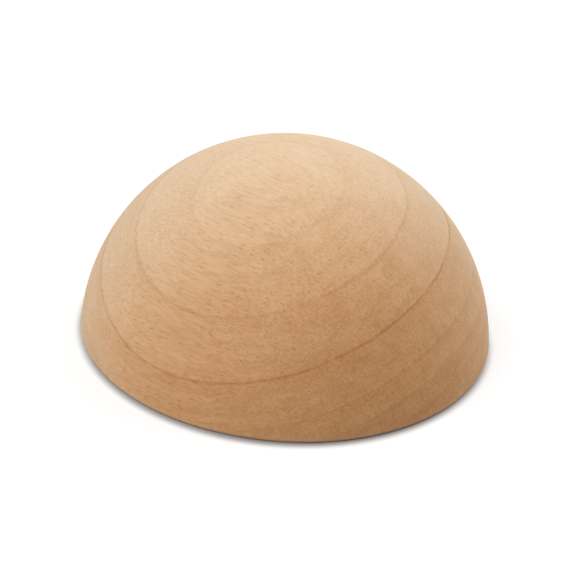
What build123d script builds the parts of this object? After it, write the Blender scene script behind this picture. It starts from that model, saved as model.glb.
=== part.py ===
"""Wooden half ball: a solid ball of pale hardwood, turned round, sawn in two and sanded flat.

It is one piece of wood. The dome is a true sphere of the ball's own radius. The saw cuts through
the ball's middle, so the kerf and the sanding after it come off both halves alike: each half is a
little lower than the radius, and its dome still leans inwards a touch as it leaves the flat face.
The sharp edge that the saw leaves all round is broken by hand with sandpaper.

The origin is at the centre of the flat face, and +Z runs up through the crown of the dome.
"""

from build123d import *
from math import asin, degrees, sqrt
import os

# Driving dimensions, in millimetres.
BALL_DIAMETER = 50.0  # the whole ball, as it comes off the lathe
SPLIT_LOSS = 0.75  # depth that each half gives up to the saw kerf and to sanding its face flat
RIM_EASE = 0.45  # radius of the sanded edge where the dome meets the flat face

# Sizes that follow from them.
ball_radius = BALL_DIAMETER / 2
crown_height = ball_radius - SPLIT_LOSS
rim_radius = sqrt(ball_radius**2 - SPLIT_LOSS**2)  # of the sharp rim, before it is eased


def turned_section():
    """The half section on one side of the axis: flat face, eased rim, dome and axis."""
    ball_centre = (0, -SPLIT_LOSS)
    rim_angle = degrees(asin(SPLIT_LOSS / ball_radius))
    with BuildSketch(Plane.XZ) as section:
        with BuildLine():
            Line((0, 0), (rim_radius, 0))
            CenterArc(ball_centre, ball_radius, rim_angle, 90 - rim_angle)
            Line((0, crown_height), (0, 0))
        make_face()
        sharp_rim = section.vertices().sort_by(Axis.X)[-1]
        fillet(sharp_rim, RIM_EASE)
    return section.sketch


def half_ball():
    """The section swept once round the axis."""
    return revolve(turned_section(), Axis.Z, 360)


os.makedirs("parts", exist_ok=True)
half = half_ball()
export_step(half, "parts/half_ball.step")
print(f"half_ball: {half.bounding_box().size}, {half.volume / 1000:.1f} cm3")
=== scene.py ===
# %% [markdown]
# # A wooden half ball
#
# A plain turned ball of pale hardwood, sawn in two. It has a smooth dome, a flat sawn face to stand
# on, and a thin rim between them that has been broken with sandpaper. Nothing is painted or
# lacquered, so all there is to look at is timber. The first cells set the stage and make the shape,
# and the rest of the lesson is about the wood: where a point lies in the log, growth rings,
# vessels, rays, end grain, and what sanding does to them.

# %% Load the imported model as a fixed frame
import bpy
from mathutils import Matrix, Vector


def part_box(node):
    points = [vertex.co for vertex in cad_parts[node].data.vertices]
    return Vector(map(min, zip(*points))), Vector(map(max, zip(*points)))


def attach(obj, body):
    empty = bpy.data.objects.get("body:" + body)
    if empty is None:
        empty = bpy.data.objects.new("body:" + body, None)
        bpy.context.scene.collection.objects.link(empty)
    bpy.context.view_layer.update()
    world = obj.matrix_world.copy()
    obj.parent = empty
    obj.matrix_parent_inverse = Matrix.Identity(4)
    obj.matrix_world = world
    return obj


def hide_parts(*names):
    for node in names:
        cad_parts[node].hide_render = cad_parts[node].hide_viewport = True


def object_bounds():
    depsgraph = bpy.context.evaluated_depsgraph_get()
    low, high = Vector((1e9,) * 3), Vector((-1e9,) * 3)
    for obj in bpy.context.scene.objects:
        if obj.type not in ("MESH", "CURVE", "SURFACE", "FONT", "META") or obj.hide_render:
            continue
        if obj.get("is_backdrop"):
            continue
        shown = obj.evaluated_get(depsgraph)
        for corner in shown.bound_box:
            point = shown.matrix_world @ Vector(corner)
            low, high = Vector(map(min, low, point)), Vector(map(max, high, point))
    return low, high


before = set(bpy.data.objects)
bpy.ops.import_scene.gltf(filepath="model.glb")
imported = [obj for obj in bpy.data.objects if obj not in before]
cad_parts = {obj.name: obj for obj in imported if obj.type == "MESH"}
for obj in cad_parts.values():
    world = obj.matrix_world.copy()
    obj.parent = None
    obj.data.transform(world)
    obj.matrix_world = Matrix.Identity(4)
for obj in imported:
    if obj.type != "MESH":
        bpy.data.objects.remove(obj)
print("drawn solids:", *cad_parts)

# %% [markdown]
# ## Sizes
#
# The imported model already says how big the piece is, so the lesson measures it and types as few
# numbers as it can. A saw takes wood away: each half is a little lower than half a ball, by half of
# the saw cut and the sanding after it. Knowing that loss gives back the radius of the ball that
# was turned, and with it the true curve of the dome.

# %% Note the sizes that the rest is worked out from
import bpy
import bmesh
from math import asin, atan2, cos, hypot, pi, radians, sin, sqrt, tan
from mathutils import Matrix, Vector, noise

cad_box = [list(corner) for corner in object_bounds()]

MM = 0.001
SPLIT_LOSS = 0.75 * MM
RIM_EASE = 0.45 * MM

crown_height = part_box("half_ball")[1].z
ball_radius = crown_height + SPLIT_LOSS
rim_radius = sqrt(ball_radius**2 - SPLIT_LOSS**2)
print(f"ball {2 * ball_radius / MM:.1f} mm across, half ball {crown_height / MM:.2f} mm high")
print(f"sharp rim {rim_radius / MM:.2f} mm from the middle, eased by {RIM_EASE / MM:.2f} mm")

# %% [markdown]
# ## Camera
#
# Small goods look best from a step back through a long lens, which keeps a ball round. A short
# lens close by would show less of the dome and make its near side bulge. The camera stands
# about twenty radii away, looks down at a little over thirty degrees, and leans a few degrees to
# one side, as one held by hand does. The lens follows from the share of the picture to be filled.

# %% Set the camera
LOOK_DOWN = radians(31.5)
LEAN = radians(4.1)
REACH_IN_RADII = 20.2
PICTURE_SHARE = 0.71
AIM_HEIGHT = 0.25
SENSOR_WIDTH = 36.0
FURTHEST_SEEN = 100.0

camera_data = bpy.data.cameras.new("camera")
camera_data.sensor_width = SENSOR_WIDTH
camera_data.lens = SENSOR_WIDTH * PICTURE_SHARE * REACH_IN_RADII / 2
camera_data.clip_end = FURTHEST_SEEN
camera = bpy.data.objects.new("camera", camera_data)
bpy.context.scene.collection.objects.link(camera)
bpy.context.scene.camera = camera

reach = REACH_IN_RADII * ball_radius
camera.location = (0, -reach * cos(LOOK_DOWN), reach * sin(LOOK_DOWN))
aim = Vector((0, 0, AIM_HEIGHT * ball_radius))
gaze = (aim - camera.location).to_track_quat("-Z", "Y").to_matrix()
camera.rotation_euler = (gaze @ Matrix.Rotation(LEAN, 3, "Z")).to_euler()
print(f"{camera_data.lens:.0f} mm lens, {reach:.3f} m from the middle of the flat")

# %% [markdown]
# ## Four helpers for laying nodes
#
# Blender draws materials as nodes joined by noodles, and a script can lay the same nodes. The long
# way takes four lines for each node, which hides what the material does. `lay` lays a node with its
# settings, `feed` gives a socket a noodle or a number, `sum_of` does one sum, and `span` cuts a
# part out of a value, which is what most patterns in a material come down to.

# %% Lay a node, feed a socket
NODE_GAP = 190


def lay(tree, kind, title, **settings):
    """Lays one node to the right of the last one and sets its own settings."""
    made = tree.nodes.new(kind)
    made.label = title
    made.location.x = NODE_GAP * len(tree.nodes)
    for name, value in settings.items():
        setattr(made, name, value)
    return made


def feed(tree, socket, source):
    """Joins a socket to another node's output, or sets it where the source is a plain value."""
    if isinstance(source, bpy.types.NodeSocket):
        tree.links.new(source, socket)
    else:
        socket.default_value = source


print("helpers:", lay.__name__, feed.__name__)


# %% Do a sum, cut out a span
def sum_of(tree, operation, *sources):
    """One Math node. The operation is Blender's own name for it, such as ADD or MULTIPLY."""
    made = lay(tree, "ShaderNodeMath", operation.lower(), operation=operation)
    for socket, source in zip(made.inputs, sources):
        feed(tree, socket, source)
    return made.outputs["Value"]


def span(tree, value, low, high, to_low=0.0, to_high=1.0, curve="SMOOTHSTEP"):
    """Turns the part of a value between low and high into another range, held at its ends."""
    made = lay(tree, "ShaderNodeMapRange", "span", interpolation_type=curve, clamp=True)
    for socket, source in zip(made.inputs, (value, low, high, to_low, to_high)):
        feed(tree, socket, source)
    return made.outputs["Result"]


print("helpers:", sum_of.__name__, span.__name__)

# %% [markdown]
# ## A white table and a white room
#
# The half ball stands on white paper, so white that the table has no edge. More light would do
# that too, but it would also bleach the wood. Light Path tells a material which kind of ray is
# asking: rays that show the background see white, and the rays that light the object see the
# plain pale paper and the dim room that are really there. Close to the rim the paper isn't lifted
# to white, so its grey tone shows as a painted shadow round the rim, over the real shadow where
# the wood touches it. The painted shadow is set a little wider in front, where the shadow of the
# lamp behind falls.

# %% Ask which rays show the background
def seen_directly(tree):
    """1 for a ray from the camera, off a gloss or through glass, and 0 for a ray that lights."""
    path = lay(tree, "ShaderNodeLightPath", "which ray is asking")
    seen = sum_of(tree, "MAXIMUM", path.outputs["Is Camera Ray"], path.outputs["Is Glossy Ray"])
    return sum_of(tree, "MAXIMUM", seen, path.outputs["Is Transmission Ray"])


print("helper:", seen_directly.__name__)

# %% Cut the paper
TABLE_SIZE = 8.0

table_mesh = bpy.data.meshes.new("table")
sheet = bmesh.new()
bmesh.ops.create_grid(sheet, x_segments=1, y_segments=1, size=TABLE_SIZE / 2)
sheet.to_mesh(table_mesh)
sheet.free()
table = bpy.data.objects.new("table", table_mesh)
bpy.context.scene.collection.objects.link(table)
table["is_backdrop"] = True
print(f"table {table.dimensions.x:.0f} m across")

# %% Make the paper white, except close to the rim
PAPER_TONE = (0.45, 0.45, 0.45, 1)
PAPER_LIFT = 0.66
# Inside SHADOW_END the paper keeps its grey tone: a painted shadow round the rim, over the real
# one, set forward by SHADOW_LEANS.
SHADOW_START = -1.9 * RIM_EASE
SHADOW_END = 1.0 * MM
SHADOW_LEANS = (-0.05 * MM, -0.64 * MM, 0)

paper = bpy.data.materials.new("white_paper")
paper.use_nodes = True
tree = paper.node_tree
tree.nodes.clear()
where = lay(tree, "ShaderNodeTexCoord", "where on the table")
away = lay(tree, "ShaderNodeVectorMath", "from the middle of the shadow", operation="DISTANCE")
feed(tree, away.inputs[0], where.outputs["Object"])
away.inputs[1].default_value = SHADOW_LEANS
starts, ends = rim_radius + SHADOW_START, rim_radius + SHADOW_END
clear = span(tree, away.outputs["Value"], starts, ends, 0.0, PAPER_LIFT, "SMOOTHERSTEP")
diffuse = lay(tree, "ShaderNodeBsdfDiffuse", "paper")
diffuse.inputs["Color"].default_value = PAPER_TONE
lift = lay(tree, "ShaderNodeEmission", "lifted to white")
feed(tree, lift.inputs["Strength"], sum_of(tree, "MULTIPLY", seen_directly(tree), clear))
both = lay(tree, "ShaderNodeAddShader", "paper and lift")
feed(tree, both.inputs[0], diffuse.outputs[0])
feed(tree, both.inputs[1], lift.outputs[0])
feed(tree, lay(tree, "ShaderNodeOutputMaterial", "out").inputs["Surface"], both.outputs[0])
table_mesh.materials.append(paper)
print(f"paper is white from {SHADOW_END / MM:.1f} mm outside the rim")

# %% Paint the room
ROOM_LIGHT = 0.20
WHITE = (1, 1, 1, 1)

room = bpy.data.worlds.new("studio")
bpy.context.scene.world = room
room.use_nodes = True
tree = room.node_tree
tree.nodes.clear()
soft = lay(tree, "ShaderNodeBackground", "light from all round")
soft.inputs["Color"].default_value = WHITE
soft.inputs["Strength"].default_value = ROOM_LIGHT
wall = lay(tree, "ShaderNodeBackground", "the white that is seen")
wall.inputs["Color"].default_value = WHITE
choose = lay(tree, "ShaderNodeMixShader", "lit by one, seen as the other")
feed(tree, choose.inputs["Fac"], seen_directly(tree))
feed(tree, choose.inputs[1], soft.outputs[0])
feed(tree, choose.inputs[2], wall.outputs[0])
feed(tree, lay(tree, "ShaderNodeOutputWorld", "out").inputs["Surface"], choose.outputs[0])
print(f"light from all round: {ROOM_LIGHT}")

# %% [markdown]
# ## Lamps
#
# Three soft lamps make the form read: a softbox above on the left, one nearly as strong on the far
# right that rims that side of the dome, and a weak card in front. Area lamps would do, but their
# strength falls off with distance, and a sun lamp with a wide angle gives the same soft edge with
# one number. With the room the levels add up to about 1 on the crown, so a colour renders as it is
# written.

# %% Hang the lamps
SOFTNESS = radians(55)
# At this strength a surface that faces the lamp is as bright as its colour is written.
FULL_SUN = pi
# Each lamp: its name, its level, and the side that its light comes from.
LAMPS = (
    ("softbox_over_left", 0.53, (-0.65, -0.14, 0.76)),
    ("softbox_behind_right", 0.50, (0.64, 0.48, 0.60)),
    ("card_in_front", 0.19, (-0.08, -0.85, 0.42)),
)

on_the_crown = ROOM_LIGHT
for title, level, come_from in LAMPS:
    lamp_data = bpy.data.lights.new(title, "SUN")
    lamp_data.energy = level * FULL_SUN
    lamp_data.angle = SOFTNESS
    lamp = bpy.data.objects.new(title, lamp_data)
    lamp.rotation_euler = Vector(come_from).to_track_quat("Z", "Y").to_euler()
    bpy.context.scene.collection.objects.link(lamp)
    on_the_crown += level * Vector(come_from).normalized().z
bpy.context.scene.view_settings.view_transform = "Standard"
print(f"{len(LAMPS)} lamps, {on_the_crown:.2f} of full light on the crown")

# %% [markdown]
# ## The dome
#
# A lathe turns the real ball, and spinning half a circle would copy that. But spun faces all
# meet in a point at the crown, where they shade badly. A cube puffed out into a ball has even
# squares everywhere and no such point. The tangent in `puff` keeps the squares alike in size:
# without it, those in the corners of the cube come out much smaller. Then the ball is sawn at its
# waist, and each ring of corners slides up a little, so that the waist lands on the saw line.

# %% Puff a cube out into a ball
SQUARES = 44
NEAR = 1e-4 * ball_radius


def puff(side):
    """Turns even steps along a cube's edge, from -1 to 1, into even steps of angle."""
    return tan(side * pi / 4)


half = bmesh.new()
bmesh.ops.create_cube(half, size=2)
bmesh.ops.subdivide_edges(half, edges=half.edges[:], cuts=SQUARES - 1, use_grid_fill=True)
for corner in half.verts:
    corner.co = Vector(puff(side) for side in corner.co).normalized() * ball_radius
print(f"whole ball: {len(half.faces)} squares")

# %% Saw it at the waist
bmesh.ops.bisect_plane(
    half,
    geom=half.verts[:] + half.edges[:] + half.faces[:],
    dist=NEAR,
    plane_co=(0, 0, 0),
    plane_no=(0, 0, 1),
    clear_inner=True,
)
for corner in half.verts:
    height = SPLIT_LOSS + corner.co.z * crown_height / ball_radius
    reach_out = hypot(corner.co.x, corner.co.y)
    if reach_out > 0:
        corner.co.xy *= sqrt(max(ball_radius**2 - height**2, 0)) / reach_out
    corner.co.z = height - SPLIT_LOSS
print(f"dome: {len(half.faces)} squares, {max(v.co.z for v in half.verts) / MM:.2f} mm high")

# %% [markdown]
# ## The flat
#
# One big round face would close the dome, but a round face with so many corners bakes and shades
# poorly. A square grid with as many steps as the dome, pulled out ring by ring into a disc, meets
# the dome corner for corner, and merging them leaves no seam.

# %% Close the dome with a disc of squares
dome_faces = set(half.faces)
grid = bmesh.ops.create_grid(half, x_segments=SQUARES, y_segments=SQUARES, size=1)
for corner in grid["verts"]:
    step_out = max(abs(corner.co.x), abs(corner.co.y))
    if step_out > 0:
        heading = Vector((puff(corner.co.x / step_out), puff(corner.co.y / step_out), 0))
        corner.co = heading.normalized() * step_out * rim_radius
flat_faces = [face for face in half.faces if face not in dome_faces]
bmesh.ops.reverse_faces(half, faces=flat_faces)
bmesh.ops.remove_doubles(half, verts=half.verts[:], dist=NEAR)
print(f"flat: {len(flat_faces)} squares, closed: {all(edge.is_manifold for edge in half.edges)}")

# %% [markdown]
# ## The rim
#
# Straight off the saw the rim is sharp enough to splinter, so a maker strokes sandpaper round it.
# A bevel stands in for the sandpaper. Its arc touches the dome and the flat, and since the corner
# is a little less than a right angle, the bevel's offset is worked out from that angle. A Bevel
# modifier makes the same arc, but after an operator the script can still move the corners: a hand
# never takes off quite the same amount all the way round, so the easing grows and shrinks a little.

# %% Bevel the rim
RIM_STEPS = 4
SHARP = radians(45)

corner_angle = pi / 2 - asin(SPLIT_LOSS / ball_radius)
rim = [edge for edge in half.edges if edge.calc_face_angle(0) > SHARP]
bmesh.ops.bevel(
    half,
    geom=rim,
    offset=RIM_EASE / tan(corner_angle / 2),
    offset_type="OFFSET",
    affect="EDGES",
    segments=RIM_STEPS,
    profile=0.5,
    material=-1,
    clamp_overlap=True,
)
bmesh.ops.subdivide_edges(half, edges=half.edges[:], cuts=1, use_grid_fill=True)
print(f"rim: {len(rim)} edges bevelled, {len(half.faces)} faces in all")

# %% Work out where the easing starts and how it varies
MORE_EASE = 0.30
HAND_STROKE = 9 * MM

ball_centre = Vector((0, 0, -SPLIT_LOSS))
ease_tilt = asin((RIM_EASE + SPLIT_LOSS) / (ball_radius - RIM_EASE))
ease_top = RIM_EASE + RIM_EASE * sin(ease_tilt)
ease_out = (ball_radius - RIM_EASE) * cos(ease_tilt)


def easing(place):
    """The easing's radius at this place on the rim: never less than RIM_EASE."""
    round_the_rim = Vector((place.x, place.y, 0)).normalized() * rim_radius / HAND_STROKE
    return RIM_EASE * (1 + MORE_EASE * (0.5 + 0.5 * noise.noise(round_the_rim)))


print(f"the easing meets the dome {ease_top / MM:.2f} mm above the flat")

# %% True up the dome and the easing
most = RIM_EASE
for corner in half.verts:
    reach_out = hypot(corner.co.x, corner.co.y)
    if corner.co.z > ease_top + NEAR:
        corner.co = ball_centre + (corner.co - ball_centre).normalized() * ball_radius
    elif reach_out > ease_out - NEAR:
        turn = Vector((reach_out - ease_out, corner.co.z - RIM_EASE)).normalized()
        ease = easing(corner.co)
        most = max(most, ease)
        middle_out = sqrt((ball_radius - ease) ** 2 - (ease + SPLIT_LOSS) ** 2)
        corner.co.xy *= (middle_out + turn.x * ease) / reach_out
        corner.co.z = ease + turn.y * ease
print(f"easing {RIM_EASE / MM:.2f} to {most / MM:.2f} mm")

# %% [markdown]
# ## Sanded by hand
#
# After the lathe the ball is sanded, and sandpaper follows the wood: it takes a few hundredths of a
# millimetre more off the soft places. The eye can't measure that, but a highlight that slides over
# the dome shows it. A bump would fake it, and moving the corners is as short. The noise is smooth
# and always goes inwards, so that the piece never outgrows its drawing.

# %% Sand the dome
SANDED_LEAST = 0.004 * MM
SANDED_MOST = 0.040 * MM
SANDED_PATCH = 11 * MM

for corner in half.verts:
    if corner.co.z > 0:
        share = 0.5 + 0.5 * noise.noise(corner.co / SANDED_PATCH)
        depth = SANDED_LEAST + (SANDED_MOST - SANDED_LEAST) * share
        corner.co += (ball_centre - corner.co).normalized() * depth
        corner.co.z = max(corner.co.z, 0)
bmesh.ops.recalc_face_normals(half, faces=half.faces[:])
for face in half.faces:
    face.smooth = True
print(f"sanded by {SANDED_LEAST / MM:.3f} to {SANDED_MOST / MM:.3f} mm")

# %% [markdown]
# ## A map for baking
#
# Materials here are worked out in three dimensions and need no map. A copy for another program
# does: its colours are baked into a square picture. An automatic map would cut the dome into many
# small islands, each with a seam. Two round sheets do better: the dome laid out round its crown,
# where every step down the dome keeps its length, and the flat as it is. The only seam runs round
# the underside of the rim, where nobody sees it.

# %% Measure the two sheets
SHEET_GAP = 1.2 * MM

dome_reach = ball_radius * (pi / 2 - ease_tilt) + RIM_EASE * (pi / 2 + ease_tilt)
flat_reach = ease_out
square_side = (dome_reach + flat_reach + SHEET_GAP) * (1 + sqrt(0.5)) + SHEET_GAP
dome_middle = Vector((dome_reach + SHEET_GAP, dome_reach + SHEET_GAP))
flat_middle = Vector((1, 1)) * (square_side - flat_reach - SHEET_GAP)


def down_the_dome(place):
    """How far it is from the crown to this place, measured along the surface."""
    if place.z > ease_top:
        return ball_radius * atan2(hypot(place.x, place.y), place.z + SPLIT_LOSS)
    below = atan2(RIM_EASE - place.z, hypot(place.x, place.y) - ease_out)
    return ball_radius * (pi / 2 - ease_tilt) + RIM_EASE * (ease_tilt + below)


print(f"sheets {2 * dome_reach / MM:.1f} and {2 * flat_reach / MM:.1f} mm across")

# %% Lay them out in a square
sheets = half.loops.layers.uv.new("OFBake")
on_flat = [face for face in half.faces if all(corner.co.z < NEAR for corner in face.verts)]
for face in half.faces:
    for loop in face.loops:
        place = loop.vert.co
        spot = Vector((place.x, place.y))
        if spot.length > 0:
            spot *= down_the_dome(place) / spot.length
        loop[sheets].uv = (dome_middle + spot) / square_side
for face in on_flat:
    face.material_index = 1
    for loop in face.loops:
        spot = Vector((loop.vert.co.x, -loop.vert.co.y))
        loop[sheets].uv = (flat_middle + spot) / square_side
print(f"square of {square_side / MM:.1f} mm, {len(on_flat)} faces on the flat")

# %% List the faces in a fixed order
# Subdividing lists them in another order each time, and one script should give one and the same
# mesh. The corners do keep their order, so each face finds its place by their numbers.
half.verts.index_update()
numbers = {face: sorted(corner.index for corner in face.verts) for face in half.faces}
places = {face: place for place, face in enumerate(sorted(numbers, key=numbers.get))}
half.faces.sort(key=places.get)
half.faces.ensure_lookup_table()
print("corners of the first face:", [corner.index for corner in half.faces[0].verts])

# %% Turn it into an object
mesh = bpy.data.meshes.new("turned_half_ball")
half.to_mesh(mesh)
closed = all(edge.is_manifold for edge in half.edges)
half.free()
piece = bpy.data.objects.new("turned_half_ball", mesh)
bpy.context.scene.collection.objects.link(piece)
print(f"{len(mesh.polygons)} faces, {len(mesh.vertices)} corners, closed: {closed}")

# %% [markdown]
# ## Effects as node groups
#
# A node group is a small machine with named sockets: build it once, place it in any material, and
# give it other values there. Rings, vessels, rim wear and highlight, and sanding marks are all
# groups here. The nodes could be laid twice, for the dome and for the flat, but both are one piece
# of wood, and a ring that leaves the dome has to arrive on the flat. Every group puts out plain
# colours, masks or heights, and the surface itself stays in the material.

# %% Build and use a group
def effect(name, takes, gives):
    """Starts a group with named sockets. A tuple as a starting value makes a vector socket."""
    group = bpy.data.node_groups.new(name, "ShaderNodeTree")
    for title, start in takes.items():
        kind = "NodeSocketVector" if isinstance(start, tuple) else "NodeSocketFloat"
        group.interface.new_socket(title, in_out="INPUT", socket_type=kind).default_value = start
    for title, kind in gives.items():
        group.interface.new_socket(title, in_out="OUTPUT", socket_type=f"NodeSocket{kind}")
    given = lay(group, "NodeGroupInput", "given").outputs
    return group, given, lay(group, "NodeGroupOutput", "found").inputs


def use(tree, group, **sources):
    """Places a group in a tree, feeds the sockets that are named, and returns its outputs."""
    made = lay(tree, "ShaderNodeGroup", group.name, node_tree=group)
    for title, source in sources.items():
        feed(tree, made.inputs[title], source)
    return made.outputs


print("helpers:", effect.__name__, use.__name__)

# %% [markdown]
# ## Five helpers for patterns
#
# Almost every pattern in wood is noise that has been stretched along the fibres and then cut down
# to the part that matters. `in_mm` brings a place on the piece to millimetres, in which wood is
# easier to think about. `speckle` gives noise with blobs of a given size, `sway` turns noise into a
# small push either way, `weigh` adds up values that count more or less, and `stain` lays one colour
# over another.

# %% Bring a place to millimetres
NOUGHT = (0.0, 0.0, 0.0)


def in_mm(tree, title, position, turned=NOUGHT, moved=NOUGHT):
    """Turns a place in metres into millimetres, turned and moved where that is asked for."""
    made = lay(tree, "ShaderNodeMapping", title)
    made.inputs["Scale"].default_value = (1 / MM, 1 / MM, 1 / MM)
    feed(tree, made.inputs["Vector"], position)
    feed(tree, made.inputs["Rotation"], turned)
    feed(tree, made.inputs["Location"], moved)
    return made.outputs["Vector"]


print("helper:", in_mm.__name__)


# %% Speckle and sway
def speckle(tree, title, place, size, detail=2.0, roughness=0.5):
    """Smooth noise about 0.5. Its blobs measure size = (along, round, out) in millimetres."""
    shrink = lay(tree, "ShaderNodeMapping", title + ": size", vector_type="TEXTURE")
    feed(tree, shrink.inputs["Vector"], place)
    shrink.inputs["Scale"].default_value = size
    made = lay(tree, "ShaderNodeTexNoise", title)
    feed(tree, made.inputs["Vector"], shrink.outputs["Vector"])
    made.inputs["Scale"].default_value = 1
    made.inputs["Detail"].default_value = detail
    made.inputs["Roughness"].default_value = roughness
    return made.outputs["Fac"]


def sway(tree, noise_value, amount):
    """Turns noise about 0.5 into a push either way, about half of amount at its most."""
    return sum_of(tree, "MULTIPLY", sum_of(tree, "SUBTRACT", noise_value, 0.5), amount)


print("helpers:", speckle.__name__, sway.__name__)


# %% Weigh and stain
def weigh(tree, base, *parts):
    """Adds values to a base. Each part is a pair: a value and its weight."""
    for value, weight in parts:
        base = sum_of(tree, "MULTIPLY_ADD", value, weight, base)
    return base


def stain(tree, how, amount, under, over):
    """Lays one colour over another. How is Blender's own name for the blend, such as MULTIPLY."""
    made = lay(tree, "ShaderNodeMix", how.lower(), data_type="RGBA", blend_type=how)
    for title, source in (("Factor_Float", amount), ("A_Color", under), ("B_Color", over)):
        feed(tree, next(s for s in made.inputs if s.identifier == title), source)
    return next(s for s in made.outputs if s.identifier == "Result_Color")


print("helpers:", weigh.__name__, stain.__name__)

# %% [markdown]
# ## Where a point lies in the log
#
# The ball was turned from a small piece of a big tree. The middle of the tree, the pith, lay well
# below the flat and off to one side, and the fibres ran level, slanting from the near right to the
# far left. So each point gets three new numbers: how far along the fibres it is, how far round the
# log, and how far out from the pith. Every pattern reads those three, so rings, fibres and rays
# agree on all sides of the dome. A map wrapped round the dome would have to stretch somewhere, and
# wood goes right through. No tree grows straight: slow noise bends the rings and the fibres.

# %% Turn the block to the tree
FIBRE_TURN = radians(144.1)
PITH_BELOW = 69.1
PITH_ASIDE = -16.25
WANDER = 0.5

log_place, given, found = effect(
    "place in the log", {"Position": NOUGHT, "Wander": WANDER}, {"Place": "Vector"}
)
fibre_way, pith = (0, 0, -FIBRE_TURN), (0, -PITH_ASIDE, PITH_BELOW)
block = in_mm(log_place, "fibres along x, pith at nought", given["Position"], fibre_way, pith)
apart = lay(log_place, "ShaderNodeSeparateXYZ", "along, aside, up")
feed(log_place, apart.inputs[0], block)
along, aside, up = apart.outputs
print(f"pith {PITH_BELOW:.1f} mm below the flat and {abs(PITH_ASIDE):.1f} mm to the side")

# %% Measure out from the pith and round the log
RING_ARC = 85.0

aside_squared = sum_of(log_place, "MULTIPLY", aside, aside)
up_squared = sum_of(log_place, "MULTIPLY", up, up)
out = sum_of(log_place, "SQRT", sum_of(log_place, "ADD", aside_squared, up_squared))
angle = sum_of(log_place, "ARCTAN2", aside, up)
round_log = sum_of(log_place, "MULTIPLY", angle, RING_ARC)
print(f"round the log is in mm as on the ring {RING_ARC:.0f} mm from the pith")

# %% Bend the tree a little
BEND = (45.0, 16.0, 16.0)
LEAN_PATCH = (16.0, 45.0, 45.0)
FIBRES_TO_RINGS = 3.0

bend = speckle(log_place, "bends of the tree", block, BEND)
out = sum_of(log_place, "ADD", out, sway(log_place, bend, given["Wander"]))
lean = speckle(log_place, "lean of the fibres", block, LEAN_PATCH)
lean_by = sum_of(log_place, "MULTIPLY", given["Wander"], FIBRES_TO_RINGS)
round_log = sum_of(log_place, "ADD", round_log, sway(log_place, lean, lean_by))
whole = lay(log_place, "ShaderNodeCombineXYZ", "along, round, out")
for socket, source in zip(whole.inputs, (along, round_log, out)):
    feed(log_place, socket, source)
feed(log_place, found["Place"], whole.outputs[0])
print(f"rings wander over {WANDER:.1f} mm, fibres over {WANDER * FIBRES_TO_RINGS:.1f} mm")

# %% [markdown]
# ## Growth rings
#
# A tree adds a ring each year. The wood starts pale and open in spring, grows darker and denser
# towards autumn, and ends in a thin dark line, and the next spring starts at once. Blender has a
# texture that draws rings, but evenly spaced ones look machine made. So each year here has its own
# outer edge, in millimetres from the pith, and its own strength, from 0 to 1. A curve turns
# distance into years, and the fraction of a year is the season.

# %% The years in this piece
FIRST_EDGE = 63.9
# Each year: its outer edge in millimetres from the pith, and its strength.
YEARS = (
    (67.5, 0.50),
    (71.0, 0.45),
    (74.2, 0.45),
    (76.9, 0.20),
    (80.0, 0.35),
    (84.95, 0.90),
    (90.0, 0.33),
    (93.8, 0.14),
    (98.0, 0.50),
)

edges = [FIRST_EDGE, *(edge for edge, _ in YEARS)]
widths = [later - sooner for sooner, later in zip(edges, edges[1:])]
print(f"{len(YEARS)} years, {min(widths):.1f} to {max(widths):.1f} mm wide")


# %% Two helpers: a curve through points, a ramp of greys
def bent(tree, title, value, through):
    """Bends a value from 0 to 1 along a curve through these points."""
    made = lay(tree, "ShaderNodeFloatCurve", title)
    points = made.mapping.curves[0].points
    points[0].location, points[-1].location = (0, 0), (1, 1)
    for across, up in through:
        points.new(across, up)
    made.mapping.update()
    feed(tree, made.inputs["Value"], value)
    return made.outputs[0]


def shaded(tree, title, value, greys, steps=False):
    """Reads a grey off a ramp of (place, grey) pairs. With steps, each grey holds to the next."""
    made = lay(tree, "ShaderNodeValToRGB", title)
    made.color_ramp.interpolation = "CONSTANT" if steps else "LINEAR"
    stops = made.color_ramp.elements
    stops.remove(stops[-1])
    for number, (place, grey) in enumerate(greys):
        stop = stops[0] if number == 0 else stops.new(place)
        stop.position = place
        stop.color = (grey, grey, grey, 1)
    feed(tree, made.inputs["Fac"], value)
    return made.outputs["Color"]


print("helpers:", bent.__name__, shaded.__name__)

# %% Find the year and the season
RAGGED = (2.2, 0.7, 0.7)
RAGGED_BY = 0.3

rings, given, found = effect(
    "growth rings", {"Place": NOUGHT}, {"Late": "Float", "Line": "Float", "Year": "Float"}
)
apart = lay(rings, "ShaderNodeSeparateXYZ", "along, round, out")
feed(rings, apart.inputs[0], given["Place"])
ragged = speckle(rings, "ragged edge", given["Place"], RAGGED, detail=3.0, roughness=0.6)
out = sum_of(rings, "ADD", apart.outputs[2], sway(rings, ragged, RAGGED_BY))

count = len(YEARS)
first, last = edges[0], edges[-1]
share = sum_of(rings, "DIVIDE", sum_of(rings, "SUBTRACT", out, first), last - first)
through = [((edge - first) / (last - first), year / count) for year, edge in enumerate(edges)]
year_share = bent(rings, "uneven years", share, through[1:-1])
years_passed = sum_of(rings, "MULTIPLY", year_share, count)
season = sum_of(rings, "FRACT", years_passed)
print(f"the years run from {first:.1f} to {last:.1f} mm from the pith")

# %% Shade each year from spring to autumn
# Each step: the part of the year that has passed, and how much of the wood is autumn wood.
SPRING_TO_AUTUMN = (
    (0.0, 0.35),
    (0.03, 0.06),
    (0.10, 0.0),
    (0.30, 0.10),
    (0.50, 0.30),
    (0.66, 0.50),
    (0.82, 0.76),
    (1.0, 1.0),
)
LEAST_AUTUMN = 0.35

strengths = [(year / count, dark) for year, (_, dark) in enumerate(YEARS)]
strength = shaded(rings, "how strong this year is", year_share, strengths, steps=True)
late = shaded(rings, "spring to autumn", season, SPRING_TO_AUTUMN)
late_by = span(rings, strength, 0.0, 1.0, LEAST_AUTUMN, 1.0, "LINEAR")
feed(rings, found["Late"], sum_of(rings, "MULTIPLY", late, late_by))

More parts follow.
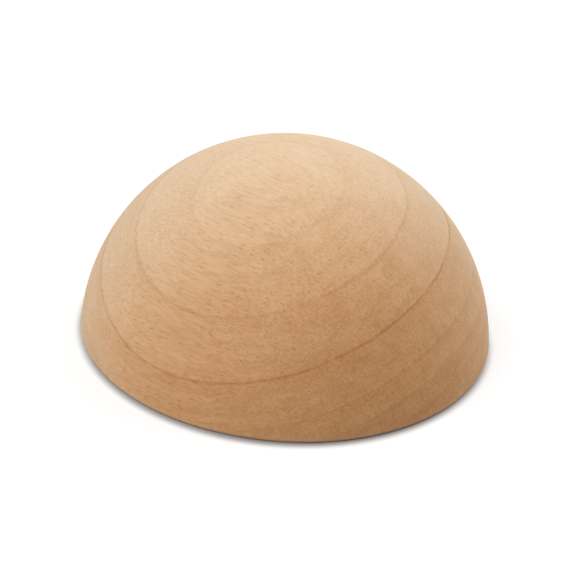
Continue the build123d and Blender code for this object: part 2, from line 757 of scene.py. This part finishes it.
toss = lay(rings, "ShaderNodeTexWhiteNoise", "each year its own tone", noise_dimensions="1D")
feed(rings, toss.inputs["W"], sum_of(rings, "FLOOR", years_passed))
feed(rings, found["Year"], toss.outputs["Value"])
print(f"every year shows at least {LEAST_AUTUMN:.0%} of its autumn wood")

# %% Draw the dark line that ends each year
LINE_IN = (0.925, 0.965)
LINE_OUT = (0.980, 0.996)
LINE_PATCH = (7.0, 3.0, 6.0)
LINE_PATCH_CUT = (0.32, 0.62)
LINE_FAINTEST = 0.3

patchy = speckle(rings, "patchy line", given["Place"], LINE_PATCH, roughness=0.55)
line = span(rings, season, *LINE_IN)
line = sum_of(rings, "MULTIPLY", line, span(rings, season, *LINE_OUT, 1.0, 0.0))
line = sum_of(rings, "MULTIPLY", line, strength)
line = sum_of(rings, "MULTIPLY", line, span(rings, patchy, *LINE_PATCH_CUT, LINE_FAINTEST, 1.0))
feed(rings, found["Line"], line)
print(f"growth rings: {len(rings.nodes)} nodes")

# %% [markdown]
# ## Vessels, fibres and streaks
#
# Sap rises through vessels, tubes a tenth of a millimetre wide. In this timber they are scattered
# evenly. Cut lengthwise, a vessel shows as a short dash, and cut across, as a dot. Noise has no
# such separate marks, but Voronoi cells that are long and thin give both, because the same cell is
# long one way and round the other. A toss for each cell lets some show and leaves others faint.
# Between the vessels lie fibres too fine to see one by one, and soft streaks where the tree stored
# a little more colour, in thin sheets that lie as the rings do.

# %% Vessels
VESSEL_CELL = (1.5, 0.24, 0.24)
VESSEL_CORE = (0.12, 0.34)
VESSEL_TOSS = (0.10, 0.95)

vessels, given, found = effect(
    "vessels and fibres",
    {"Place": NOUGHT},
    {"Vessel": "Float", "Fibre": "Float", "Streak": "Float"},
)
shrink = lay(vessels, "ShaderNodeMapping", "vessels: size", vector_type="TEXTURE")
feed(vessels, shrink.inputs["Vector"], given["Place"])
shrink.inputs["Scale"].default_value = VESSEL_CELL
cells = lay(vessels, "ShaderNodeTexVoronoi", "vessels", feature="F1", voronoi_dimensions="3D")
feed(vessels, cells.inputs["Vector"], shrink.outputs[0])
cells.inputs["Scale"].default_value = 1
core = span(vessels, cells.outputs["Distance"], *VESSEL_CORE, 1.0, 0.0)
apart = lay(vessels, "ShaderNodeSeparateColor", "a toss for each cell")
feed(vessels, apart.inputs[0], cells.outputs["Color"])
here = span(vessels, apart.outputs[0], *VESSEL_TOSS)
feed(vessels, found["Vessel"], sum_of(vessels, "MULTIPLY", core, here))
print(f"vessel cells {VESSEL_CELL[0]} mm long and {VESSEL_CELL[1]} mm wide")

# %% Fibres and streaks
FIBRE = (2.6, 0.26, 0.20)
STREAK = (8.0, 5.0, 0.50)

fibres = speckle(vessels, "fibres", given["Place"], FIBRE, roughness=0.6)
streaks = speckle(vessels, "streaks", given["Place"], STREAK, detail=4.0, roughness=0.75)
feed(vessels, found["Fibre"], fibres)
feed(vessels, found["Streak"], streaks)
print(f"fibres {FIBRE[0]} mm long, streaks {STREAK[0]} mm long and {STREAK[2]} mm thick")

# %% [markdown]
# ## Rays
#
# Rays are thin sheets that run from the pith to the bark, across everything else. Where the surface
# follows them they show as soft flakes, where it cuts them endwise as fine lines that point to the
# pith, and on the crown as tiny dashes. Three patterns with masks between them could draw that. One
# noise does it alone, stretched as the rays are: long outwards, short along the fibres and very
# thin round the log.

# %% Rays as a group
RAY = (0.8, 0.17, 2.4)
RAY_CUT = (0.52, 0.72)

rays, given, found = effect("rays", {"Place": NOUGHT}, {"Ray": "Float"})
sheets_of_ray = speckle(rays, "rays", given["Place"], RAY, detail=1.0)
feed(rays, found["Ray"], span(rays, sheets_of_ray, *RAY_CUT))
print(f"rays {RAY[1]} mm thick, {RAY[2]} mm long outwards")

# %% [markdown]
# ## End grain
#
# Two places on the dome, low on the near right and low on the far left, are cut straight across the
# fibres. Cut ends soak up light: that wood looks darker and drier, and its rays show more. A
# painted mask could mark them, but how squarely a place is cut is no more than the angle between
# the surface and the fibres, one dot product, and that holds for any shape.

# %% End grain as a group
UPRIGHT = (0.0, 0.0, 1.0)
SQUARELY = (0.35, 1.0)

end_grain, given, found = effect("end grain", {"Facing": UPRIGHT}, {"Cut across": "Float"})
dot = lay(end_grain, "ShaderNodeVectorMath", "how squarely cut", operation="DOT_PRODUCT")
feed(end_grain, dot.inputs[0], given["Facing"])
dot.inputs[1].default_value = (cos(FIBRE_TURN), sin(FIBRE_TURN), 0)
across = sum_of(end_grain, "ABSOLUTE", dot.outputs["Value"])
feed(end_grain, found["Cut across"], span(end_grain, across, *SQUARELY))
print("end grain faces", [round(side, 2) for side in dot.inputs[1].default_value])

# %% [markdown]
# ## The wood itself
#
# Now the groups come together, in the order in which the tree made them. First cream spring wood
# and deeper autumn wood, each year with a tone of its own. Then a slow drift of the whole piece
# towards tan, down at the front: partly the tan of the heart, and partly painted shade where the
# front of the dome turns from the light. Then lines, streaks, fibres, vessels and rays, each as a
# stain that multiplies what is under it. Mixing towards a brown would hide the wood below. A stain
# works as brown in wood does: it takes some of the light away, blue first. The same values, as a
# height and a roughness, are what the light catches on.

# %% Gather the patterns
hardwood, given, found = effect(
    "pale hardwood",
    {"Position": NOUGHT, "Facing": UPRIGHT, "Heart": 1.0},
    {"Color": "Color", "Height": "Float", "Roughness": "Float"},
)
place = use(hardwood, log_place, Position=given["Position"])["Place"]
ring = use(hardwood, rings, Place=place)
grain = use(hardwood, vessels, Place=place)
ray = use(hardwood, rays, Place=place)["Ray"]
across = use(hardwood, end_grain, Facing=given["Facing"])["Cut across"]
print("patterns:", [*ring.keys(), *grain.keys(), "Ray", "Cut across"])

# %% Spring wood and autumn wood
SPRING_WOOD = (0.911, 0.697, 0.481, 1)
AUTUMN_WOOD = (0.843, 0.607, 0.392, 1)
OWN_TONE = 0.25

colour = stain(hardwood, "MIX", ring["Late"], SPRING_WOOD, AUTUMN_WOOD)
own_tone = sum_of(hardwood, "MULTIPLY", ring["Year"], OWN_TONE)
colour = stain(hardwood, "MIX", own_tone, colour, AUTUMN_WOOD)
print(f"a year lies up to {OWN_TONE:.0%} nearer to autumn wood than its neighbour")

# %% Drift towards tan: the heart and painted shade
# This tan is partly the heart's own colour and partly painted shade: it deepens towards the front,
# where the dome turns from the light.
TAN_OF_HEART_AND_SHADE = (0.875, 0.637, 0.432, 1)
DRIFT_TO = Vector((0.12, -0.75, -0.09))
DRIFT_CUT = (-0.27, 0.73)
CLOUD = (30.0, 12.0, 12.0)
CLOUD_SWAY = 0.10
MOTTLE = (5.5, 2.8, 2.8)
MOTTLE_SWAY = 0.14

dot = lay(hardwood, "ShaderNodeVectorMath", "how far to the heart", operation="DOT_PRODUCT")
feed(hardwood, dot.inputs[0], given["Position"])
dot.inputs[1].default_value = DRIFT_TO / ball_radius
cloud = speckle(hardwood, "clouds of colour", place, CLOUD)
mottle = speckle(hardwood, "mottle", place, MOTTLE, roughness=0.6)
drift = sum_of(hardwood, "ADD", dot.outputs["Value"], sway(hardwood, cloud, CLOUD_SWAY))
drift = sum_of(hardwood, "ADD", drift, sway(hardwood, mottle, MOTTLE_SWAY))
heart_and_shade = sum_of(hardwood, "MULTIPLY", span(hardwood, drift, *DRIFT_CUT), given["Heart"])
colour = stain(hardwood, "MULTIPLY", heart_and_shade, colour, TAN_OF_HEART_AND_SHADE)
print("the tan deepens towards", [round(side, 2) for side in DRIFT_TO.normalized()])

# %% [markdown]
# ## How boldly the grain shows
#
# Where the wood is tan its fibres and vessels hold more colour, so the grain stands out there and
# lies quieter in the cream. One strength everywhere would be simpler, but then the crown looks busy
# or the front looks blank. So the strength of the grain follows the drift towards tan, which is
# partly the heart and partly painted shade.

# %% Weigh the grain by the heart
BOLDNESS = (0.85, 1.38)
FIBRE_CUT = (0.3, 0.7)
FIBRE_MOST = 0.75
VESSEL_MOST = 0.7
STREAK_CUT = (0.3, 0.7)
STREAK_BOLDNESS = (0.30, 0.85)
MOTTLE_CUT = (0.35, 0.65)
RAY_BOLDNESS = (0.35, 0.80)

bolder = span(hardwood, heart_and_shade, 0.0, 1.0, *BOLDNESS, "LINEAR")
fibre = span(hardwood, grain["Fibre"], *FIBRE_CUT, 0.0, FIBRE_MOST)
fibre = sum_of(hardwood, "MULTIPLY", fibre, bolder)
vessel = sum_of(hardwood, "MULTIPLY", grain["Vessel"], VESSEL_MOST)
vessel = sum_of(hardwood, "MULTIPLY", vessel, bolder)
streak_by = span(hardwood, heart_and_shade, 0.0, 1.0, *STREAK_BOLDNESS, "LINEAR")
streak = sum_of(hardwood, "MULTIPLY", span(hardwood, grain["Streak"], *STREAK_CUT), streak_by)
blotch = sum_of(hardwood, "MULTIPLY", span(hardwood, mottle, *MOTTLE_CUT), heart_and_shade)
ray_by = span(hardwood, across, 0.0, 1.0, *RAY_BOLDNESS, "LINEAR")
ray = sum_of(hardwood, "MULTIPLY", ray, ray_by)
print(f"fibres show {BOLDNESS[1] / BOLDNESS[0]:.1f} times as much in the tan as in the cream")

# %% Lay the stains
LINE_STAIN = (0.83, 0.69, 0.58, 1)
MOTTLE_STAIN = (0.955, 0.935, 0.905, 1)
STREAK_STAIN = (0.91, 0.873, 0.83, 1)
FIBRE_STAIN = (0.87, 0.835, 0.79, 1)
VESSEL_STAIN = (0.72, 0.60, 0.48, 1)
RAY_STAIN = (0.885, 0.83, 0.765, 1)
END_STAIN = (0.97, 0.93, 0.89, 1)

stains = (
    (ring["Line"], LINE_STAIN),
    (blotch, MOTTLE_STAIN),
    (streak, STREAK_STAIN),
    (fibre, FIBRE_STAIN),
    (vessel, VESSEL_STAIN),
    (ray, RAY_STAIN),
    (across, END_STAIN),
)
for amount, tone in stains:
    colour = stain(hardwood, "MULTIPLY", amount, colour, tone)
feed(hardwood, found["Color"], colour)
print(f"{len(stains)} stains over two woods and the heart")

# %% Height and roughness of the wood
LATE_HIGH = 0.3
LINE_HIGH = 0.4
FIBRE_HIGH = 0.8
VESSEL_DEEP = 0.8
WOOD_ROUGHNESS = 0.60
FIBRE_ROUGHER = 0.16
LATE_SMOOTHER = 0.05
END_ROUGHER = 0.08

hard = weigh(hardwood, 0.0, (ring["Late"], LATE_HIGH), (ring["Line"], LINE_HIGH))
high = weigh(hardwood, hard, (grain["Fibre"], FIBRE_HIGH), (grain["Vessel"], -VESSEL_DEEP))
feed(hardwood, found["Height"], high)

rough = weigh(hardwood, WOOD_ROUGHNESS, (grain["Fibre"], FIBRE_ROUGHER))
rough = weigh(hardwood, rough, (ring["Late"], -LATE_SMOOTHER), (across, END_ROUGHER))
feed(hardwood, found["Roughness"], rough)
print(f"pale hardwood: {len(hardwood.nodes)} nodes over {len(bpy.data.node_groups)} groups")

# %% [markdown]
# ## Sanding marks
#
# Sandpaper leaves fine straight scratches, far too fine for the mesh, so they are a bump. Noise
# stretched to a few millimetres long and a tenth wide makes a bundle of them. The group takes the
# turn of the stroke, so the dome can have two faint bundles that cross, from paper held in the
# palm, and the flat one plain bundle from the belt that took the saw marks off.

# %% Sanding marks as a group
SCRATCH = (7.0, 0.10, 0.10)
SCRATCH_CUT = (0.42, 0.30)
PRESSED_PATCH = (9.0, 6.0, 6.0)
PRESSED_CUT = (0.3, 0.7)
LIGHTEST_PRESS = 0.25

sanding, given, found = effect(
    "sanding marks", {"Position": NOUGHT, "Turn": 0.0}, {"Scratch": "Float"}
)
heading = lay(sanding, "ShaderNodeCombineXYZ", "about the upright")
feed(sanding, heading.inputs["Z"], given["Turn"])
stroke = in_mm(sanding, "turned to the stroke", given["Position"], turned=heading.outputs[0])
scratch = speckle(sanding, "scratches", stroke, SCRATCH, roughness=0.7)
pressed = speckle(sanding, "pressed harder here", stroke, PRESSED_PATCH)
pressed = span(sanding, pressed, *PRESSED_CUT, LIGHTEST_PRESS, 1.0)
scratch = sum_of(sanding, "MULTIPLY", span(sanding, scratch, *SCRATCH_CUT), pressed)
feed(sanding, found["Scratch"], scratch)
print(f"scratches {SCRATCH[0]:.0f} mm long, {SCRATCH[1]} mm wide")

# %% [markdown]
# ## Wear and a painted highlight along the rim
#
# Paper that strokes an edge burnishes it: the rim is a little smoother than the wood beside it.
# It is also a little paler, partly from the burnish and partly as a painted highlight along the
# rounded edge. Both fade out within a millimetre or so. Geometry's Pointiness finds edges too, but
# what it finds depends on how fine the mesh is. Here the distance to the sharp rim, before it was
# eased, is worked out from the position alone, so one group serves the dome and the flat.

# %% Measure the distance to the rim
rim_wear_and_highlight, given, found = effect("rim wear and highlight", {"Position": NOUGHT, "Reach": 1.0}, {"Worn and highlit": "Float"})
apart = lay(rim_wear_and_highlight, "ShaderNodeSeparateXYZ", "across, deep, up")
feed(rim_wear_and_highlight, apart.inputs[0], given["Position"])
level = lay(rim_wear_and_highlight, "ShaderNodeCombineXYZ", "on the level")
feed(rim_wear_and_highlight, level.inputs["X"], apart.outputs["X"])
feed(rim_wear_and_highlight, level.inputs["Y"], apart.outputs["Y"])
from_axis = lay(rim_wear_and_highlight, "ShaderNodeVectorMath", "from the axis", operation="LENGTH")
feed(rim_wear_and_highlight, from_axis.inputs[0], level.outputs[0])
inwards = sum_of(rim_wear_and_highlight, "SUBTRACT", rim_radius, from_axis.outputs["Value"])
inwards_squared = sum_of(rim_wear_and_highlight, "MULTIPLY", inwards, inwards)
up_squared = sum_of(rim_wear_and_highlight, "MULTIPLY", apart.outputs["Z"], apart.outputs["Z"])
away = sum_of(rim_wear_and_highlight, "SQRT", sum_of(rim_wear_and_highlight, "ADD", inwards_squared, up_squared))
print(f"sharp rim {rim_radius / MM:.2f} mm from the axis")

# %% Wear it unevenly
STROKES = (2.5, 2.5, 2.5)
STROKES_SWAY = 1.2
WORN_IN_EASES = (0.5, 2.2)

one_ease = sum_of(rim_wear_and_highlight, "MULTIPLY", given["Reach"], RIM_EASE)
in_eases = sum_of(rim_wear_and_highlight, "DIVIDE", away, one_ease)
on_rim = in_mm(rim_wear_and_highlight, "on the rim", given["Position"])
strokes = speckle(rim_wear_and_highlight, "uneven strokes", on_rim, STROKES, detail=3.0, roughness=0.6)
in_eases = sum_of(rim_wear_and_highlight, "ADD", in_eases, sway(rim_wear_and_highlight, strokes, STROKES_SWAY))
feed(rim_wear_and_highlight, found["Worn and highlit"], span(rim_wear_and_highlight, in_eases, *WORN_IN_EASES, 1.0, 0.0))
print(f"wear fades out {WORN_IN_EASES[1] * RIM_EASE / MM:.1f} mm from the sharp rim")

# %% [markdown]
# ## Bare wood
#
# Bare sanded wood is dull but not dead: at a low angle it still gives back a soft sheen. The
# Principled surface has that already, with its specular level turned down and a high roughness that
# the grain varies. Wax or lacquer would ask for a coat, and this piece has neither. The dome and
# the flat are the same wood, so two helpers start and finish the material of each.

# %% Start a material, finish a material
DRY_SPECULAR = 0.3


def bare_material(name):
    """A material with an empty tree, and where its points lie and face on the piece."""
    material = bpy.data.materials.new(name)
    material.use_nodes = True
    material.node_tree.nodes.clear()
    on_piece = lay(material.node_tree, "ShaderNodeTexCoord", "on the piece")
    return material, material.node_tree, on_piece.outputs["Object"], on_piece.outputs["Normal"]


def finish_with(material, relief, seen_colour, height, roughness):
    """Joins colour, height and roughness to a plain dry surface."""
    tree = material.node_tree
    bump = lay(tree, "ShaderNodeBump", "relief")
    bump.inputs["Distance"].default_value = relief
    feed(tree, bump.inputs["Height"], height)
    dry = lay(tree, "ShaderNodeBsdfPrincipled", "dry wood")
    dry.inputs["Specular IOR Level"].default_value = DRY_SPECULAR
    feed(tree, dry.inputs["Base Color"], seen_colour)
    feed(tree, dry.inputs["Roughness"], roughness)
    feed(tree, dry.inputs["Normal"], bump.outputs[0])
    feed(tree, lay(tree, "ShaderNodeOutputMaterial", "out").inputs["Surface"], dry.outputs[0])
    print(f"{material.name}: {len(tree.nodes)} nodes")


print("helpers:", bare_material.__name__, finish_with.__name__)

# %% [markdown]
# ## Finish of the dome
#
# The dome was sanded last by hand, with paper held in the palm, so its scratches cross at two
# angles and are hardly there. They could be left out, and the dome would shine like plastic. The
# rim is burnished and smoother by a tenth, and paler, partly from the burnish and partly as a
# painted highlight along the rounded edge.

# %% Dome: turned and sanded hardwood
PALM_STROKES = (radians(25), radians(-50))
PALM_SCRATCH = 0.25
# The rim is paler partly from the burnish and partly as a painted highlight along the rounded edge.
RIM_BURNISH_AND_HIGHLIGHT = (1.0, 0.93, 0.84, 1)
RIM_BURNISH_AND_HIGHLIGHT_SHARE = 0.10
RIM_SMOOTHER = 0.10
DOME_RELIEF = 0.02 * MM

turned, tree, position, facing = bare_material("turned_hardwood")
wood = use(tree, hardwood, Position=position, Facing=facing)
worn_and_highlit = use(tree, rim_wear_and_highlight, Position=position)["Worn and highlit"]
height = wood["Height"]
for stroke in PALM_STROKES:
    scratch = use(tree, sanding, Position=position, Turn=stroke)["Scratch"]
    height = weigh(tree, height, (scratch, -PALM_SCRATCH))
roughness = weigh(tree, wood["Roughness"], (worn_and_highlit, -RIM_SMOOTHER))
burnish_and_highlight = sum_of(tree, "MULTIPLY", worn_and_highlit, RIM_BURNISH_AND_HIGHLIGHT_SHARE)
colour = stain(tree, "MIX", burnish_and_highlight, wood["Color"], RIM_BURNISH_AND_HIGHLIGHT)
finish_with(turned, DOME_RELIEF, colour, height, roughness)
mesh.materials.append(turned)

# %% [markdown]
# ## Finish of the flat
#
# The saw opened fresh wood, so the flat is paler than the dome, with little of the tan that is
# partly the heart and partly painted shade. The rings cross it as straight bands. A belt sander
# took
# off nearly all of the saw marks: its straight scratches run slantwise over the grain, with the
# last faint ripples of the blade under them. A material of its own could be drawn from nothing, but
# the same groups with other values keep it the same piece of wood.

# %% Flat: start from the same wood
# The flat takes only a little of the tan, which is partly heart and partly painted shade.
FLAT_HEART_AND_SHADE = 0.15
FLAT_REACH = 1.4
BELT_STROKE = radians(-20)
SAW_STROKE = radians(68)
SAW_RIPPLE = (60.0, 1.1, 1.1)

sawn, tree, position, facing = bare_material("sawn_hardwood")
wood = use(tree, hardwood, Position=position, Facing=facing, Heart=FLAT_HEART_AND_SHADE)
worn_and_highlit = use(tree, rim_wear_and_highlight, Position=position, Reach=FLAT_REACH)["Worn and highlit"]
belt = use(tree, sanding, Position=position, Turn=BELT_STROKE)["Scratch"]
across_saw = in_mm(tree, "turned to the saw", position, turned=(0, 0, SAW_STROKE))
ripple = speckle(tree, "last ripples of the saw", across_saw, SAW_RIPPLE, detail=1.0)
print(f"saw ripples {SAW_RIPPLE[1]} mm apart, under scratches {SCRATCH[1]} mm wide")

# %% Flat: sawn and belt-sanded hardwood
BELT_DEEP = 0.7
RIPPLE_HIGH = 1.2
BELT_ROUGHER = 0.08
BELT_DARKER = 0.5
FRESH_WOOD = (0.93, 0.78, 0.62, 1)
FRESHNESS = 0.12
# The flat's rim, too, is paler partly from the burnish and partly as a painted highlight.
FLAT_RIM_BURNISH_AND_HIGHLIGHT_SHARE = 0.25
FLAT_RELIEF = 0.03 * MM

height = weigh(tree, wood["Height"], (belt, -BELT_DEEP), (ripple, RIPPLE_HIGH))
roughness = weigh(tree, wood["Roughness"], (belt, BELT_ROUGHER))
colour = stain(tree, "MIX", FRESHNESS, wood["Color"], FRESH_WOOD)
darker = sum_of(tree, "MULTIPLY", belt, BELT_DARKER)
colour = stain(tree, "MULTIPLY", darker, colour, FIBRE_STAIN)
burnish_and_highlight = sum_of(tree, "MULTIPLY", worn_and_highlit, FLAT_RIM_BURNISH_AND_HIGHLIGHT_SHARE)
colour = stain(tree, "MIX", burnish_and_highlight, colour, RIM_BURNISH_AND_HIGHLIGHT)
finish_with(sawn, FLAT_RELIEF, colour, height, roughness)
mesh.materials.append(sawn)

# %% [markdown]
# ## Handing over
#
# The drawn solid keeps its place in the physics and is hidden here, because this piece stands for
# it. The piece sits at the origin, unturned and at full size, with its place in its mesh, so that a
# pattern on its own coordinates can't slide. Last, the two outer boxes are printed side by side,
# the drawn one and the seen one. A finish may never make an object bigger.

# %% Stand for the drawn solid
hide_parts("half_ball")
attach(piece, "root")
print(f"{piece.name} stands for half_ball, with {len(mesh.materials)} finishes")

# %% Print the sizes and finish
visual_box = [list(corner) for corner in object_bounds()]
for title, box in (("drawn", cad_box), ("seen", visual_box)):
    print(title, [round((high - low) / MM, 3) for low, high in zip(*box)], "mm")
